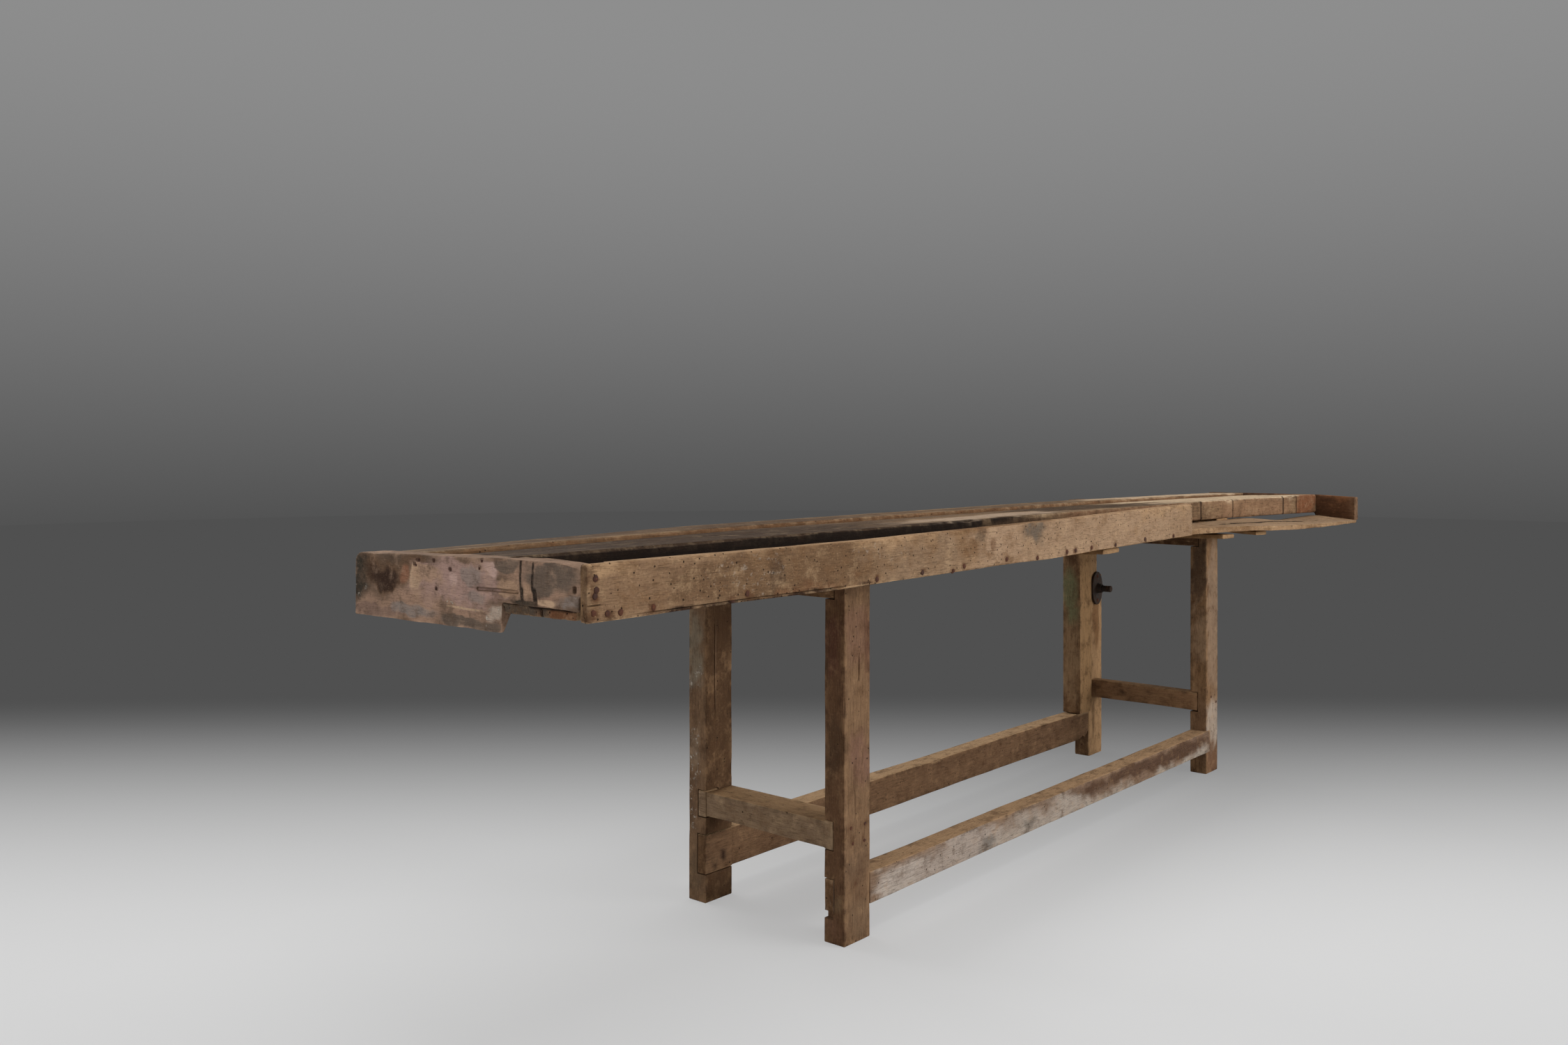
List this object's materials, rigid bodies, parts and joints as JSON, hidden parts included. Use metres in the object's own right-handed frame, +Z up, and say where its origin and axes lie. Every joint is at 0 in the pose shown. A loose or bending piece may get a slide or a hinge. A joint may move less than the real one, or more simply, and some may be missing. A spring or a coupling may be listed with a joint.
{
  "type": "woodworking bench",
  "caption": "Long antique plank workbench on a lapped trestle base, with a tool tray along the back and an iron-screw leg vise on the front right leg.",
  "frame": {"origin": "on the floor under the middle of the overall box, vise included", "axes": "+X along the bench to the sawn end of the tray side, +Y towards the working edge and the vise jaw, +Z up"},
  "size_m": [3.59, 0.6421, 0.8],
  "materials": {
    "top_timber": "worn, grey-brown, oiled and dirty",
    "cap_timber": "stained, weathered end cap",
    "tray_timber": "dry tan board with worm holes",
    "base_timber": "dry sawn softwood, knocked and cracked",
    "pale_timber": "paler sawn wood",
    "rusted_iron": "dark, rusted"
  },
  "bodies": {
    "bench": {"leg_back_left": "base_timber", "leg_front_left": "base_timber", "leg_back_right": "base_timber", "leg_front_right": "base_timber", "vise_leg_post": "base_timber", "end_rail_left": "base_timber", "end_rail_right": "base_timber", "stretcher_back": "base_timber", "stretcher_front": "base_timber", "bearer_left": "base_timber", "bearer_right": "base_timber", "front_plank": "top_timber", "rear_plank": "top_timber", "end_cap_left": "cap_timber", "end_board_right": "top_timber", "tray_side": "tray_timber", "tray_board_inner": "tray_timber", "tray_board_outer": "tray_timber", "tray_cleat_1": "pale_timber", "tray_cleat_2": "pale_timber", "tray_cleat_3": "pale_timber", "vise_nut": "rusted_iron"},
    "vise_jaw": {"vise_chop": "base_timber", "chop_guide": "pale_timber", "guide_pin": "rusted_iron", "screw_garter": "pale_timber", "vise_washer": "rusted_iron"},
    "vise_screw": {"vise_screw": "rusted_iron"},
    "tommy_bar": {"tommy_bar": "rusted_iron", "tommy_knob_upper": "rusted_iron", "tommy_knob_lower": "rusted_iron"}
  },
  "joints": [
    {"name": "vise_jaw_slide", "type": "slide", "parent": "bench", "child": "vise_jaw", "axis": [0, 1, 0], "range_m": [0, 0.0701]},
    {"name": "vise_screw_turn", "type": "hinge", "parent": "vise_jaw", "child": "vise_screw", "pos_m": [0.754, 0.26245, 0.52], "axis": [0, 1, 0], "range_deg": [0, 4200]},
    {"name": "tommy_bar_slide", "type": "slide", "parent": "vise_screw", "child": "tommy_bar", "axis": [0, 0, 1], "range_m": [0, 0.199]}
  ],
  "couplings": [
    {"joint": "vise_jaw_slide", "follows": "vise_screw_turn", "m_per_rad": 0.00095493}
  ]
}
